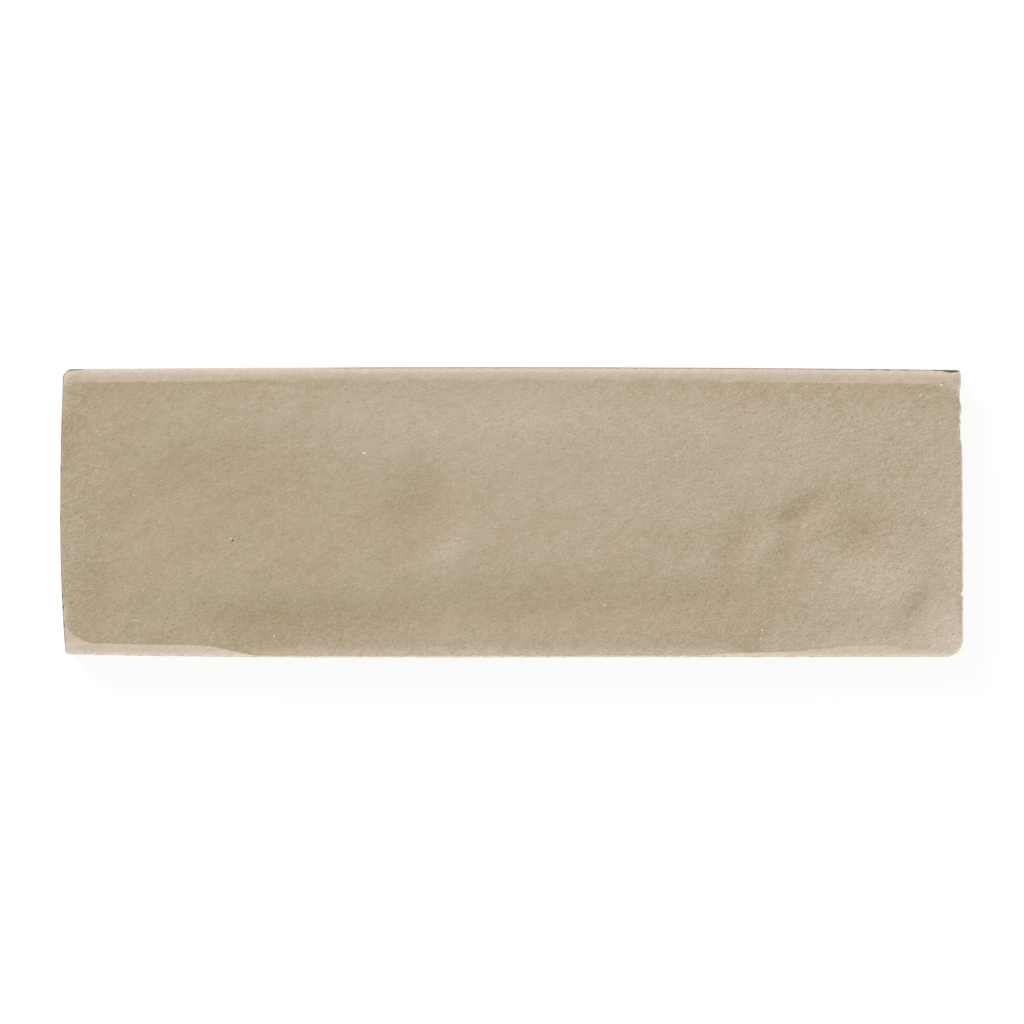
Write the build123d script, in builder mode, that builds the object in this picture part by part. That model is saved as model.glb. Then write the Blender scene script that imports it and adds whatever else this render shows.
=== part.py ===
from build123d import *
from collections import namedtuple
from math import cos, exp, hypot, radians, sin, sqrt, tan
import os

# A hand-finished glazed wall tile, fired as one piece: a long thin slab with an uneven, glazed
# face, edges that roll over to a soft lip, sides that bow a little, and a ribbed back for the
# adhesive. It lies on its back. The origin is the middle of the back, X runs along the tile,
# +Y points to the back edge (the far one in use as a picture) and +Z comes out of the face.
# Everything is in millimetres.

# Slab
length = 200.0
width = 64.3
thickness = 8.4  # from the back to the middle level of the face
side_draft = 1.5  # degrees that the sides draw in towards the back
foot_chamfer = 0.5  # small bevel round the back
lip_radius = 0.4  # round of the edge between the face and the sides
blank_allowance = 1.5  # clay that the blank holds above the middle level of the face

# Each side bows out to a crown, the outermost point, and has drawn in by so much at its two ends.
# The start of the left and right sides is their front end, and of the front and back sides their
# left end. A crown is placed by its distance from the middle of the side.
Side = namedtuple("Side", "crown start_inset end_inset")
left_side = Side(crown=-2.0, start_inset=1.20, end_inset=0.65)
right_side = Side(crown=-24.0, start_inset=0.15, end_inset=0.58)
front_side = Side(crown=-40.0, start_inset=0.70, end_inset=0.10)
back_side = Side(crown=-3.0, start_inset=0.46, end_inset=0.64)

# Corner radii in plan
front_left_radius = 0.7
front_right_radius = 3.6
back_left_radius = 1.9
back_right_radius = 0.8

# The face rolls down towards each side over a strip of this width: at the side's start, along its
# middle and at its end. The strip changes width between these two shares of the half side.
Roll = namedtuple("Roll", "start middle end")
left_roll = Roll(start=1.3, middle=0.7, end=1.5)
right_roll = Roll(start=2.4, middle=0.7, end=1.6)
front_roll = Roll(start=2.7, middle=0.8, end=2.5)
back_roll = Roll(start=3.1, middle=2.3, end=3.2)
roll_ramp = (0.52, 0.70)
roll_slope = 0.26  # fall per millimetre at the very edge

# Each corner sags as well, over this distance measured along the diagonal
front_left_sag = 5.3
front_right_sag = 9.2
back_left_sag = 4.3
back_right_sag = 3.9
sag_slope = 0.16

# The face is crowned as a whole, and pressed by hand into low swells (rise above 0) and shallow
# hollows (rise below 0). x and y are the middle of each, measured from the tile's middle, reach
# and breadth its half sizes, and turn the angle of its long way in degrees.
crowning = 0.50
Press = namedtuple("Press", "x y reach breadth turn rise")
presses = [
    # long swell along the back, and its broader end to the right
    Press(x=-4.0, y=20.5, reach=32.0, breadth=5.0, turn=0.0, rise=0.40),
    Press(x=64.0, y=15.0, reach=15.0, breadth=9.0, turn=0.0, rise=0.22),
    # slack places of the left half
    Press(x=-95.0, y=25.5, reach=4.0, breadth=4.0, turn=0.0, rise=-0.36),
    Press(x=-67.0, y=9.5, reach=13.0, breadth=4.4, turn=16.0, rise=-0.26),
    Press(x=-52.0, y=0.0, reach=26.0, breadth=8.0, turn=0.0, rise=-0.18),
    Press(x=-92.0, y=-14.8, reach=4.5, breadth=3.6, turn=0.0, rise=-0.32),
    Press(x=-86.0, y=-19.5, reach=4.5, breadth=1.6, turn=100.0, rise=0.16),
    # long hollow along the front
    Press(x=-47.0, y=-23.5, reach=19.0, breadth=3.8, turn=0.0, rise=-0.48),
    Press(x=8.0, y=-19.8, reach=20.0, breadth=4.4, turn=3.0, rise=-0.38),
    Press(x=46.0, y=-18.0, reach=10.0, breadth=5.0, turn=0.0, rise=-0.22),
    # thumb mark left of the middle, and the clay that it raised
    Press(x=-20.5, y=1.5, reach=6.0, breadth=4.4, turn=50.0, rise=-0.36),
    Press(x=-12.2, y=-9.2, reach=4.8, breadth=2.8, turn=52.0, rise=0.36),
    # finger marks towards the right end, with the clay raised below them
    Press(x=64.0, y=0.0, reach=4.4, breadth=1.9, turn=33.0, rise=-0.50),
    Press(x=78.0, y=-4.5, reach=4.2, breadth=2.8, turn=-60.0, rise=-0.34),
    Press(x=50.0, y=-8.5, reach=6.0, breadth=2.6, turn=60.0, rise=-0.26),
    Press(x=56.3, y=-7.5, reach=3.6, breadth=1.9, turn=60.0, rise=0.20),
    Press(x=61.5, y=-9.0, reach=4.0, breadth=2.0, turn=80.0, rise=-0.22),
    Press(x=82.5, y=-16.8, reach=9.0, breadth=5.4, turn=8.0, rise=0.50),
    Press(x=90.5, y=-21.0, reach=4.0, breadth=2.2, turn=55.0, rise=-0.42),
    Press(x=94.0, y=-1.0, reach=10.0, breadth=4.5, turn=90.0, rise=0.28),
]

# Nicks in the right-hand lip: half their length along the edge, and how deep they go. Each fades
# out down the side.
Nick = namedtuple("Nick", "y half_length depth")
nicks = [
    Nick(y=26.3, half_length=2.0, depth=0.45),
    Nick(y=21.3, half_length=1.5, depth=0.32),
    Nick(y=18.0, half_length=2.6, depth=0.55),
    Nick(y=-18.1, half_length=0.5, depth=0.40),
]
nick_height = 3.0

# Ribbed back: a plain border, and a lattice of ribs between shallow pockets
border = 6.0
rib = 2.5
pocket_columns = 10
pocket_rows = 3
pocket_depth = 0.8
pocket_radius = 1.6
pocket_draft = 30.0  # degrees

# The glazed face is drawn as one smooth surface through a net of points, closer together near the
# edges, and reaches past the sides so that it cuts the whole slab
net_overhang = 2.0
net_edge_step = 1.0
net_edge_zone = 4.0
net_step = 2.0
net_tolerance = 0.02
net_degree = 3

half_length = length / 2
half_width = width / 2


def drawn_in(side, along, half):
    """How far a side has drawn in from its crown, at a place along it."""
    if along > side.crown:
        return side.end_inset * ((along - side.crown) / (half - side.crown)) ** 2
    return side.start_inset * ((side.crown - along) / (half + side.crown)) ** 2


def ramp(value, low, high):
    """Smooth change from 0 at low to 1 at high."""
    share = min(max((value - low) / (high - low), 0), 1)
    return share * share * (3 - 2 * share)


def roll_width(roll, along, half):
    """Width of the rolled strip at a place along a side."""
    end = roll.end if along > 0 else roll.start
    return roll.middle + (end - roll.middle) * ramp(abs(along) / half, *roll_ramp)


def fall(distance, reach, slope):
    """Drop of a strip that starts level at its inner limit and reaches the slope at its edge."""
    return slope * reach / 2 * max(1 - distance / reach, 0) ** 2


def edge_fall(x, y):
    """How far the face has rolled down at a point, for the four sides and corners together."""
    to_left = x + half_length - drawn_in(left_side, y, half_width)
    to_right = half_length - x - drawn_in(right_side, y, half_width)
    to_front = y + half_width - drawn_in(front_side, x, half_length)
    to_back = half_width - y - drawn_in(back_side, x, half_length)
    falls = [
        fall(to_left, roll_width(left_roll, y, half_width), roll_slope),
        fall(to_right, roll_width(right_roll, y, half_width), roll_slope),
        fall(to_front, roll_width(front_roll, x, half_length), roll_slope),
        fall(to_back, roll_width(back_roll, x, half_length), roll_slope),
        fall((to_left + to_front) / sqrt(2), front_left_sag, sag_slope),
        fall((to_right + to_front) / sqrt(2), front_right_sag, sag_slope),
        fall((to_left + to_back) / sqrt(2), back_left_sag, sag_slope),
        fall((to_right + to_back) / sqrt(2), back_right_sag, sag_slope),
    ]
    return hypot(*falls)


def pressed(press, x, y):
    """Rise or fall of the face at a point, from one press of the hand."""
    turn = radians(press.turn)
    along = (x - press.x) * cos(turn) + (y - press.y) * sin(turn)
    across = (y - press.y) * cos(turn) - (x - press.x) * sin(turn)
    return press.rise * exp(-((along / press.reach) ** 2 + (across / press.breadth) ** 2) / 2)


def face_height(x, y):
    """Height of the glazed face above the back."""
    crown_drop = crowning * ((x / half_length) ** 2 + (y / half_width) ** 2) / 2
    relief = sum(pressed(press, x, y) for press in presses)
    return thickness - crown_drop + relief - edge_fall(x, y)


def net_places(half):
    """Places of the net's lines across the tile, close together near both edges."""
    outer = half + net_overhang
    inner = half - net_edge_zone
    edge_count = round((outer - inner) / net_edge_step)
    middle_count = round(2 * inner / net_step)
    edge = [inner + (outer - inner) * i / edge_count for i in range(1, edge_count + 1)]
    middle = [-inner + 2 * inner * i / middle_count for i in range(middle_count + 1)]
    return [-place for place in reversed(edge)] + middle + edge


def plan(level, bevel=0):
    """Outline of the slab at a level: eight arcs, two to a side, and the four round corners."""
    inward = (thickness - level) * tan(radians(side_draft)) + bevel
    x = half_length - inward
    y = half_width - inward
    left_crown = (-x, left_side.crown)
    right_crown = (x, right_side.crown)
    front_crown = (front_side.crown, -y)
    back_crown = (back_side.crown, y)
    front_left = (-x + left_side.start_inset, -y + front_side.start_inset)
    front_right = (x - right_side.start_inset, -y + front_side.end_inset)
    back_left = (-x + left_side.end_inset, y - back_side.start_inset)
    back_right = (x - right_side.end_inset, y - back_side.end_inset)
    with BuildSketch() as outline:
        with BuildLine():
            TangentArc(front_crown, front_right, tangent=(1, 0))
            TangentArc(right_crown, front_right, tangent=(0, -1))
            TangentArc(right_crown, back_right, tangent=(0, 1))
            TangentArc(back_crown, back_right, tangent=(1, 0))
            TangentArc(back_crown, back_left, tangent=(-1, 0))
            TangentArc(left_crown, back_left, tangent=(0, 1))
            TangentArc(left_crown, front_left, tangent=(0, -1))
            TangentArc(front_crown, front_left, tangent=(-1, 0))
        make_face()
        for corner, radius in [
            (front_left, front_left_radius),
            (front_right, front_right_radius),
            (back_left, back_left_radius),
            (back_right, back_right_radius),
        ]:
            fillet(outline.vertices().sort_by_distance(corner)[0], radius)
    return outline.sketch


# Outlines of the blank slab: round its bevelled back, above the bevel and over its highest swell
blank_height = thickness + blank_allowance
outlines = {
    0: plan(0, foot_chamfer),
    foot_chamfer: plan(foot_chamfer),
    blank_height: plan(blank_height),
}

# The face that trims the blank
glazed_face = Face.make_surface_from_array_of_points(
    [[(x, y, face_height(x, y)) for y in net_places(half_width)] for x in net_places(half_length)],
    tol=net_tolerance,
    min_deg=net_degree,
    max_deg=net_degree,
)

# Pockets of the back fill what the border and the ribs leave
pocket_length = (length - 2 * border - (pocket_columns - 1) * rib) / pocket_columns
pocket_width = (width - 2 * border - (pocket_rows - 1) * rib) / pocket_rows

with BuildPart() as tile:
    # Blank slab with drafted sides and a bevelled back
    for level, outline in outlines.items():
        with BuildSketch(Plane.XY.offset(level)):
            add(outline)
    loft(ruled=True)

    # Uneven face with its rolled edges, and the soft lip round it
    split(bisect_by=glazed_face, keep=Keep.BOTTOM)
    fillet(tile.faces().sort_by(Axis.Z)[-1].outer_wire().edges(), lip_radius)

    # Nicks of the right-hand lip: cones that stand beside the tile and leave its side lower down
    for nick in nicks:
        radius = (nick.half_length**2 + nick.depth**2) / (2 * nick.depth)
        side = half_length - drawn_in(right_side, nick.y, half_width)
        foot = thickness - nick_height
        with Locations((side - nick.depth + radius, nick.y, foot)):
            Cone(
                radius - nick.depth,
                radius + nick.depth,
                2 * nick_height,
                align=(Align.CENTER, Align.CENTER, Align.MIN),
                mode=Mode.SUBTRACT,
            )

    # Ribbed back
    with BuildSketch():
        with GridLocations(pocket_length + rib, pocket_width + rib, pocket_columns, pocket_rows):
            RectangleRounded(pocket_length, pocket_width, pocket_radius)
    extrude(amount=pocket_depth, taper=pocket_draft, mode=Mode.SUBTRACT)

tile.part.label = "tile"

os.makedirs("parts", exist_ok=True)
export_step(tile.part, "parts/tile.step")
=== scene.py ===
# %% [markdown]
# # A hand-finished glazed wall tile
#
# The tile is one fired piece, about 200 by 64 mm, lying on its back with the glazed face up. The
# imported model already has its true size, its bowed sides, its uneven face and its ribbed back.
# This lesson makes the same form again with a mesh fine enough to carry the small relief of the
# clay, gives it a glaze, and sets it on a pale floor under soft light.

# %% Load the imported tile
import bmesh
import bpy
from collections import namedtuple
from math import cos, exp, hypot, pi, radians, sin, sqrt, tan
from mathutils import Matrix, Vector, noise
from mathutils.bvhtree import BVHTree


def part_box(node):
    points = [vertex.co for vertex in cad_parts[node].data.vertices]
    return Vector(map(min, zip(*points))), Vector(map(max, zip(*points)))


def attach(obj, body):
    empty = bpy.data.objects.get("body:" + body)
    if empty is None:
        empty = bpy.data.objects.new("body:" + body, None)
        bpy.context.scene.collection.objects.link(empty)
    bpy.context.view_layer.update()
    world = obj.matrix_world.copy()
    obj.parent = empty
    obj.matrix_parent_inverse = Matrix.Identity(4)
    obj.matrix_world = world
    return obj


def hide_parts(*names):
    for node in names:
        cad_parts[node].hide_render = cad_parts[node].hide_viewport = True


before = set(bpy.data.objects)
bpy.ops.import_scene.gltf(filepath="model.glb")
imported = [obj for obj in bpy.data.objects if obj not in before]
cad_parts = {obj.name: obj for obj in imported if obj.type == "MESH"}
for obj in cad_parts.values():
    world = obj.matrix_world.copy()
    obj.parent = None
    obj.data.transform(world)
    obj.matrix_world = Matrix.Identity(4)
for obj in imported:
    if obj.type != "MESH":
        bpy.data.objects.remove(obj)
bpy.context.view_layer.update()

low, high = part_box("tile")
print("packed tile, mm:", [round((b - a) * 1000, 2) for a, b in zip(low, high)])

# %% [markdown]
# ## Sizes and outline
#
# A tile that was pressed and trimmed by hand has no straight side. Each side bows out to a crown,
# its outermost point, and draws in a little towards both ends. Two numbers, the draw at the start
# and at the end, describe a side well enough, so the whole outline is four short lines that can be
# read and changed. Lengths are in millimetres until the very last step, which scales to metres.

# %% Sizes and outline
hair = 0.01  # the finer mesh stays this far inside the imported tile
half_length = (high[0] - low[0]) * 1000 / 2 - hair
half_width = (high[1] - low[1]) * 1000 / 2 - hair
thickness = 8.4
side_draft = 1.5
foot_chamfer = 0.5

Side = namedtuple("Side", "crown start_inset end_inset")
left_side = Side(crown=-2.0, start_inset=1.20, end_inset=0.65)
right_side = Side(crown=-24.0, start_inset=0.15, end_inset=0.58)
front_side = Side(crown=-40.0, start_inset=0.70, end_inset=0.10)
back_side = Side(crown=-3.0, start_inset=0.46, end_inset=0.64)
corner_radii = {(-1, -1): 0.7, (1, -1): 3.6, (-1, 1): 1.9, (1, 1): 0.8}
print("half sizes, mm:", round(half_length, 2), round(half_width, 2))


def drawn_in(side, along, half):
    """How far a side has drawn in from its crown, at a place along it."""
    if along > side.crown:
        return side.end_inset * ((along - side.crown) / (half - side.crown)) ** 2
    return side.start_inset * ((side.crown - along) / (half + side.crown)) ** 2


# %% [markdown]
# ## Nicks and frayed lips
#
# The right-hand lip is chipped in four places, three of them near its far end. Each bite is a
# shallow arc at the lip and fades out down the side. Along the front and right the lip is also
# frayed all the way by about a tenth of a millimetre, where the tile was cut and the arris
# crumbled. Both are part of the outline, so the mesh follows them and no cutter is needed.

# %% Nicks and frayed lips
Nick = namedtuple("Nick", "y half_length depth")
nicks = [
    Nick(y=26.3, half_length=2.2, depth=0.55),
    Nick(y=21.3, half_length=1.5, depth=0.32),
    Nick(y=18.0, half_length=2.6, depth=0.55),
    Nick(y=-18.1, half_length=0.5, depth=0.40),
]
nick_height = 3.0


def bitten(y, drop):
    """Depth of the nicks at a place on the right-hand side, so far below the lip."""
    bites = [nick.depth * (1 - ((y - nick.y) / nick.half_length) ** 2) for nick in nicks]
    return max(0, *bites) * max(0, 1 - drop / nick_height)


fray_depth = 0.20
fray_size = 1.1
fray_height = 0.8
right_row, front_row = 3.3, 7.7  # rows of the noise, so that the two sides crumble differently


def frayed(along, row, drop):
    """Depth of the crumbled arris at a place along a side, so far below the lip."""
    crumbs = noise.noise(Vector((along / fray_size, row, 0)))
    return fray_depth * max(0, crumbs) * max(0, 1 - drop / fray_height)


print("deepest nick, mm:", max(nick.depth for nick in nicks))


# %% [markdown]
# ## From a square to the outline
#
# Every point of the face, of the lip and of the sides is named by a place (u, v) on a square that
# runs from -1 to 1 both ways. This function carries it to the tile: it stretches the square
# between the bowed sides and rounds its four corners. The same function with a larger `inward`
# gives the next ring down the side, so rings always line up.

# %% From a square to the outline
least_radius = 0.2


def plan_point(u, v, inward=0, drop=0):
    """Place in plan of a point of the square, on an outline drawn in by so much."""
    along_x, along_y = u * half_length, v * half_width
    side_x = right_side if u > 0 else left_side
    side_y = back_side if v > 0 else front_side
    reach_x = half_length - inward - drawn_in(side_x, along_y, half_width)
    reach_y = half_width - inward - drawn_in(side_y, along_x, half_length)
    if u > 0:
        reach_x -= max(bitten(along_y, drop), frayed(along_y, right_row, drop))
    if v < 0:
        reach_y -= frayed(along_x, front_row, drop)
    sign_x = 1 if u > 0 else -1
    sign_y = 1 if v > 0 else -1
    radius = max(corner_radii[sign_x, sign_y] - inward / 2, least_radius)
    in_x = reach_x * (1 - abs(u)) / radius
    in_y = reach_y * (1 - abs(v)) / radius
    if in_x >= 1 or in_y >= 1:
        return reach_x * u, reach_y * v
    p, q = 1 - in_x, 1 - in_y
    round_x = p * sqrt(1 - q * q / 2)
    round_y = q * sqrt(1 - p * p / 2)
    return sign_x * (reach_x - radius * (1 - round_x)), sign_y * (reach_y - radius * (1 - round_y))


print("front right corner, mm:", [round(place, 2) for place in plan_point(1, -1)])

# %% [markdown]
# ## Height of the face
#
# The face rolls down to each side over a strip whose width changes along the side, each corner
# sags, and the whole face is crowned and pressed into low swells and hollows. Swells are easy to
# place as round bumps with a middle, two half sizes and a turn.

# %% Height of the face
Roll = namedtuple("Roll", "start middle end")
left_roll = Roll(start=1.3, middle=0.7, end=1.5)
right_roll = Roll(start=2.4, middle=0.7, end=1.6)
front_roll = Roll(start=2.7, middle=0.8, end=2.5)
back_roll = Roll(start=3.1, middle=2.3, end=3.2)
roll_ramp = (0.52, 0.70)
roll_slope = 0.26
front_left_sag = 5.3
front_right_sag = 9.2
back_left_sag = 4.3
back_right_sag = 3.9
sag_slope = 0.16
crowning = 0.50

Press = namedtuple("Press", "x y reach breadth turn rise")
presses = [
    # long swell along the back, and its broader end to the right
    Press(x=-4.0, y=20.5, reach=32.0, breadth=5.0, turn=0.0, rise=0.40),
    Press(x=64.0, y=15.0, reach=15.0, breadth=9.0, turn=0.0, rise=0.22),
    # slack places of the left half
    Press(x=-95.0, y=25.5, reach=4.0, breadth=4.0, turn=0.0, rise=-0.36),
    Press(x=-67.0, y=9.5, reach=13.0, breadth=4.4, turn=16.0, rise=-0.26),
    Press(x=-52.0, y=0.0, reach=26.0, breadth=8.0, turn=0.0, rise=-0.18),
    Press(x=-92.0, y=-14.8, reach=4.5, breadth=3.6, turn=0.0, rise=-0.32),
    Press(x=-86.0, y=-19.5, reach=4.5, breadth=1.6, turn=100.0, rise=0.16),
    # long hollow along the front
    Press(x=-47.0, y=-23.5, reach=19.0, breadth=3.8, turn=0.0, rise=-0.48),
    Press(x=8.0, y=-19.8, reach=20.0, breadth=4.4, turn=3.0, rise=-0.38),
    Press(x=46.0, y=-18.0, reach=10.0, breadth=5.0, turn=0.0, rise=-0.22),
    # thumb mark left of the middle, and the clay that it raised
    Press(x=-20.5, y=1.5, reach=6.0, breadth=4.4, turn=50.0, rise=-0.36),
    Press(x=-12.2, y=-9.2, reach=4.8, breadth=2.8, turn=52.0, rise=0.36),
    # finger marks towards the right end, with the clay raised below them
    Press(x=64.0, y=0.0, reach=4.4, breadth=1.9, turn=33.0, rise=-0.50),
    Press(x=78.0, y=-4.5, reach=4.2, breadth=2.8, turn=-60.0, rise=-0.34),
    Press(x=50.0, y=-8.5, reach=6.0, breadth=2.6, turn=60.0, rise=-0.26),
    Press(x=56.3, y=-7.5, reach=3.6, breadth=1.9, turn=60.0, rise=0.20),
    Press(x=61.5, y=-9.0, reach=4.0, breadth=2.0, turn=80.0, rise=-0.22),
    Press(x=82.5, y=-16.8, reach=9.0, breadth=5.4, turn=8.0, rise=0.50),
    Press(x=90.5, y=-21.0, reach=4.0, breadth=2.2, turn=55.0, rise=-0.42),
    Press(x=94.0, y=-1.0, reach=10.0, breadth=4.5, turn=90.0, rise=0.28),
]


def ramp(value, start, end):
    """Smooth change from 0 at start to 1 at end."""
    share = min(max((value - start) / (end - start), 0), 1)
    return share * share * (3 - 2 * share)


def roll_width(roll, along, half):
    """Width of the rolled strip at a place along a side."""
    end = roll.end if along > 0 else roll.start
    return roll.middle + (end - roll.middle) * ramp(abs(along) / half, *roll_ramp)


def fall(distance, reach, slope):
    """Drop of a strip that starts level at its inner limit and reaches the slope at its edge."""
    return slope * reach / 2 * max(1 - distance / reach, 0) ** 2


def side_distances(x, y):
    """Distances of a point of the face from the left, right, front and back sides."""
    return (
        x + half_length - drawn_in(left_side, y, half_width),
        half_length - x - drawn_in(right_side, y, half_width),
        y + half_width - drawn_in(front_side, x, half_length),
        half_width - y - drawn_in(back_side, x, half_length),
    )


def edge_fall(x, y):
    """How far the face has rolled down at a point, for the four sides and corners together."""
    to_left, to_right, to_front, to_back = side_distances(x, y)
    return hypot(
        fall(to_left, roll_width(left_roll, y, half_width), roll_slope),
        fall(to_right, roll_width(right_roll, y, half_width), roll_slope),
        fall(to_front, roll_width(front_roll, x, half_length), roll_slope),
        fall(to_back, roll_width(back_roll, x, half_length), roll_slope),
        fall((to_left + to_front) / sqrt(2), front_left_sag, sag_slope),
        fall((to_right + to_front) / sqrt(2), front_right_sag, sag_slope),
        fall((to_left + to_back) / sqrt(2), back_left_sag, sag_slope),
        fall((to_right + to_back) / sqrt(2), back_right_sag, sag_slope),
    )


def pressed(press, x, y):
    """Rise or fall of the face at a point, from one press of the hand."""
    turn = radians(press.turn)
    along = (x - press.x) * cos(turn) + (y - press.y) * sin(turn)
    across = (y - press.y) * cos(turn) - (x - press.x) * sin(turn)
    return press.rise * exp(-((along / press.reach) ** 2 + (across / press.breadth) ** 2) / 2)


def relief(x, y):
    """Rise and fall of all the presses at a point."""
    return sum(pressed(press, x, y) for press in presses)


def face_height(x, y):
    """Height of the glazed face above the back."""
    crown_drop = crowning * ((x / half_length) ** 2 + (y / half_width) ** 2) / 2
    return thickness - crown_drop + relief(x, y) - edge_fall(x, y)


print("height of the face in its middle, mm:", round(face_height(0, 0), 2))

# %% [markdown]
# ## Small relief
#
# Between the swells the clay is never flat: it has lumps a few millimetres wide, drawn out a
# little along the stroke of the hand. Three sizes of smooth noise, each with its own depth, give
# them as real geometry. The whole face sinks a little, so that the highest lump stays below the
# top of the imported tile. Only the finest grain, smaller than the mesh, is left to the material.

# %% Small relief
Lumps = namedtuple("Lumps", "size depth")
lump_sizes = [
    Lumps(size=6.5, depth=0.048),
    Lumps(size=2.7, depth=0.030),
    Lumps(size=1.2, depth=0.015),
]
stroke_turn = radians(22)
stroke_stretch = 1.7
layer_step = 9.7  # so far apart in the noise that the three sizes don't repeat each other
sunk = 0.04


def lumpiness(x, y):
    """Small rise or fall at a point of the face, in lumps drawn out along the stroke."""
    along = (x * cos(stroke_turn) + y * sin(stroke_turn)) / stroke_stretch
    across = y * cos(stroke_turn) - x * sin(stroke_turn)
    total = 0
    for number, lumps in enumerate(lump_sizes):
        spot = Vector((along / lumps.size, across / lumps.size, number * layer_step))
        total += lumps.depth * noise.noise(spot)
    return total


def skin_height(x, y):
    """Height of the finished face, with its lumps."""
    return face_height(x, y) + lumpiness(x, y) - sunk


print("lumps, mm wide:", [lumps.size for lumps in lump_sizes])

# %% [markdown]
# ## The face
#
# The face starts as a flat grid, which has even squares and no poles. Its lines are crowded
# towards the edges, where the surface bends most, and each vertex is then carried to its place.
# The grid stops just inside the outline, to leave room for the rounded lip. Each vertex keeps its
# place (u, v) in two layers, because the rings of the sides grow out of it.

# %% The face
grid_x, grid_y = 440, 142
crowding = 0.34
soft_lip, tight_lip = 0.40, 0.14
lip_change = 0.04  # share of a side's length over which one lip turns into the other
lip_start = radians(30)


def lip_radius(u, v):
    """Radius of the lip: soft along the back and the left, and tight along the front and right."""
    return tight_lip + (soft_lip - tight_lip) * ramp((v - u) / 2, 0, lip_change)


def face_point(u, v):
    """Place in plan of a point of the face, which ends where the lip starts."""
    return plan_point(u, v, lip_radius(u, v) * (1 - sin(lip_start)))


def crowd(place):
    """Move a grid line at a place from -1 to 1 towards the nearer edge."""
    return place + crowding * sin(pi * place) / pi


tile_bm = bmesh.new()
layer_u = tile_bm.verts.layers.float.new("place_u")
layer_v = tile_bm.verts.layers.float.new("place_v")
bmesh.ops.create_grid(tile_bm, x_segments=grid_x, y_segments=grid_y, size=1)
for vert in tile_bm.verts:
    u, v = crowd(vert.co.x), crowd(vert.co.y)
    vert[layer_u], vert[layer_v] = u, v
    x, y = face_point(u, v)
    vert.co = (x, y, skin_height(x, y))
print("face:", len(tile_bm.verts), "vertices")

# %% [markdown]
# ## Lip and sides
#
# The edge of the grid is extruded ring by ring: first round the lip, then down the drafted side,
# and last over the bevel to the back. A ring needs only its distance inward from the outline and
# its height, so the lip is a short arc of angles. The clay of the sides is a little rough.

# %% Lip and sides
lip_angles = [radians(angle) for angle in (40, 50, 60, 70, 80, 88.5)]
side_rings = 9
side_roughness = 0.07
rough_width, rough_height = 2.5, 1.2
rough_growth = 0.3  # below 1, so that the roughness is there from just under the lip


def next_ring(edges, place):
    """Extrude a ring of edges, put each new vertex where the function says, return the new ring."""
    made = bmesh.ops.extrude_edge_only(tile_bm, edges=edges)["geom"]
    for vert in (item for item in made if isinstance(item, bmesh.types.BMVert)):
        vert.co = place(vert)
    return [item for item in made if isinstance(item, bmesh.types.BMEdge) and item.is_boundary]


def lip_place(angle):
    """Where a ring of the lip goes: round the arc that starts at the edge of the face."""

    def place(vert):
        u, v = vert[layer_u], vert[layer_v]
        x, y = face_point(u, v)
        down = lip_radius(u, v) * (cos(lip_start) - cos(angle))
        return (*plan_point(u, v, lip_radius(u, v) * (1 - sin(angle))), skin_height(x, y) - down)

    return place


def side_place(share):
    """Where a ring of the side goes, at a share of the way from the lip to the bevel."""

    def place(vert):
        u, v = vert[layer_u], vert[layer_v]
        x, y = face_point(u, v)
        lip_level = skin_height(x, y) - lip_radius(u, v) * cos(lip_start)
        level = lip_level + (foot_chamfer - lip_level) * share
        spot = Vector((x / rough_width, y / rough_width, level / rough_height))
        rough = (noise.noise(spot) * side_roughness + side_roughness) * share ** rough_growth
        inward = (lip_level - level) * tan(radians(side_draft)) + rough
        return (*plan_point(u, v, inward, lip_level - level), level)

    return place


def foot_place(vert):
    """Where the last ring goes: inside the bevel, on the level of the back."""
    u, v = vert[layer_u], vert[layer_v]
    inward = thickness * tan(radians(side_draft)) + foot_chamfer + side_roughness
    return (*plan_point(u, v, inward, nick_height), 0)


ring = [edge for edge in tile_bm.edges if edge.is_boundary]
for angle in lip_angles:
    ring = next_ring(ring, lip_place(angle))
for number in range(side_rings):
    ring = next_ring(ring, side_place((number + 1) / side_rings))
ring = next_ring(ring, foot_place)
print("with its sides:", len(tile_bm.verts), "vertices")

# %% [markdown]
# ## The back
#
# The back has a plain border and a lattice of ribs, so that the adhesive keys into shallow
# pockets. One pocket's mouth is a rectangle with its corners bevelled round. It is made again by
# rows and columns, the flat of the back is filled between the mouths, and each mouth is then
# extruded upwards and drawn in, to make its sloping walls, the bevel round its floor and the floor.

# %% The back
nominal_length, nominal_width = 200.0, 64.3
border = 6.0
rib = 2.5
pocket_columns, pocket_rows = 10, 3
pocket_depth = 0.8
pocket_radius = 1.6
pocket_inset = pocket_depth * tan(radians(30))
pocket_length = (nominal_length - 2 * border - (pocket_columns - 1) * rib) / pocket_columns
pocket_width = (nominal_width - 2 * border - (pocket_rows - 1) * rib) / pocket_rows
pocket_steps = ((0.8, 0.8), (1.0, 0.45))  # shares of the depth, and of the inset that is added

mouths = []
for column in range(pocket_columns):
    for row in range(pocket_rows):
        middle = Vector((
            (column - (pocket_columns - 1) / 2) * (pocket_length + rib),
            (row - (pocket_rows - 1) / 2) * (pocket_width + rib),
            0,
        ))
        corners = bmesh.ops.create_grid(tile_bm, x_segments=1, y_segments=1, size=0.5)["verts"]
        for vert in corners:
            vert.co = (vert.co.x * pocket_length + middle.x, vert.co.y * pocket_width + middle.y, 0)
        rounded = bmesh.ops.bevel(
            tile_bm, geom=corners, offset=pocket_radius, offset_type="OFFSET", segments=5,
            profile=0.5, affect="VERTICES", material=-1,
        )
        face = rounded["verts"][0].link_faces[0]
        edges = list(face.edges)
        bmesh.ops.delete(tile_bm, geom=[face], context="FACES_ONLY")
        mouths.append((middle, edges))

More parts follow.
